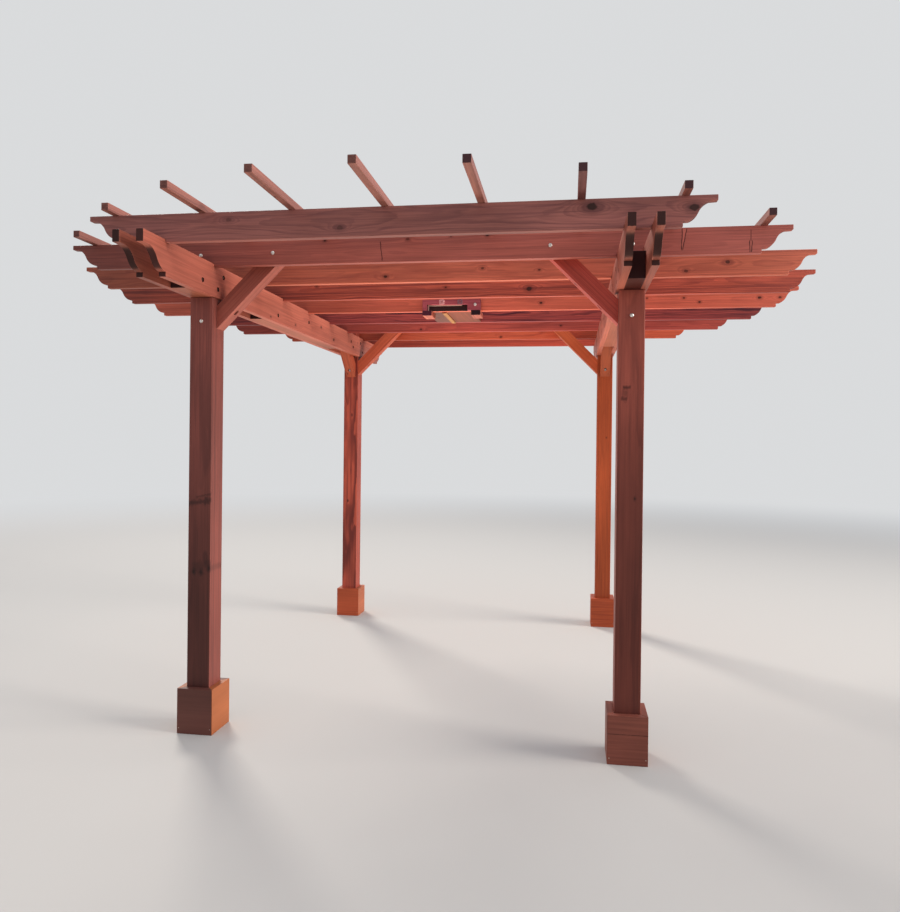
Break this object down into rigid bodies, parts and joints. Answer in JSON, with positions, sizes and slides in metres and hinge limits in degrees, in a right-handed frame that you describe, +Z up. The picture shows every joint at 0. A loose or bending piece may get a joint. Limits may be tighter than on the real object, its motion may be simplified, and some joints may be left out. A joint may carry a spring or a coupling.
{
  "type": "wooden pergola",
  "caption": "Free standing timber pergola with posts, double beams, scroll cut rafters and top slats in a round outline, with knee braces and a fan mounting frame.",
  "frame": {"origin": "centre of the post pattern on the ground", "axes": "+X along the rafters to the right, +Y along the beams to the back, +Z up"},
  "size_m": [5.0802, 5.0802, 2.9111],
  "materials": {
    "base_wood": "stained, satin",
    "beam_wood": "stained, satin",
    "block_wood": "stained, satin",
    "brace_wood": "stained, satin",
    "mount_plate_wood": "stained, satin",
    "mount_wood": "stained, satin",
    "panel_wood": "stained, satin",
    "post_wood": "stained, satin",
    "rafter_wood": "stained, satin",
    "slat_wood": "stained, satin"
  },
  "bodies": {
    "root": {"base_boards_back_left": "base_wood", "base_boards_back_right": "base_wood", "base_boards_front_left": "base_wood", "base_boards_front_right": "base_wood", "beam_block_left_back": "block_wood", "beam_block_left_front": "block_wood", "beam_block_left_middle": "block_wood", "beam_block_right_back": "block_wood", "beam_block_right_front": "block_wood", "beam_block_right_middle": "block_wood", "beam_brace_back_left": "brace_wood", "beam_brace_back_right": "brace_wood", "beam_brace_front_left": "brace_wood", "beam_brace_front_right": "brace_wood", "beam_left_inner": "beam_wood", "beam_left_outer": "beam_wood", "beam_right_inner": "beam_wood", "beam_right_outer": "beam_wood", "fan_mount_panel": "panel_wood", "fan_mount_plate": "mount_plate_wood", "fan_mount_yoke": "mount_wood", "post_back_left": "post_wood", "post_back_right": "post_wood", "post_front_left": "post_wood", "post_front_right": "post_wood", "rafter_1": "rafter_wood", "rafter_2": "rafter_wood", "rafter_3": "rafter_wood", "rafter_4": "rafter_wood", "rafter_5": "rafter_wood", "rafter_6": "rafter_wood", "rafter_7": "rafter_wood", "rafter_8": "rafter_wood", "rafter_9": "rafter_wood", "rafter_brace_back_left": "brace_wood", "rafter_brace_back_right": "brace_wood", "rafter_brace_front_left": "brace_wood", "rafter_brace_front_right": "brace_wood", "top_slat_1": "slat_wood", "top_slat_2": "slat_wood", "top_slat_3": "slat_wood", "top_slat_4": "slat_wood", "top_slat_5": "slat_wood", "top_slat_6": "slat_wood", "top_slat_7": "slat_wood", "top_slat_8": "slat_wood", "top_slat_9": "slat_wood"}
  },
  "joints": []
}
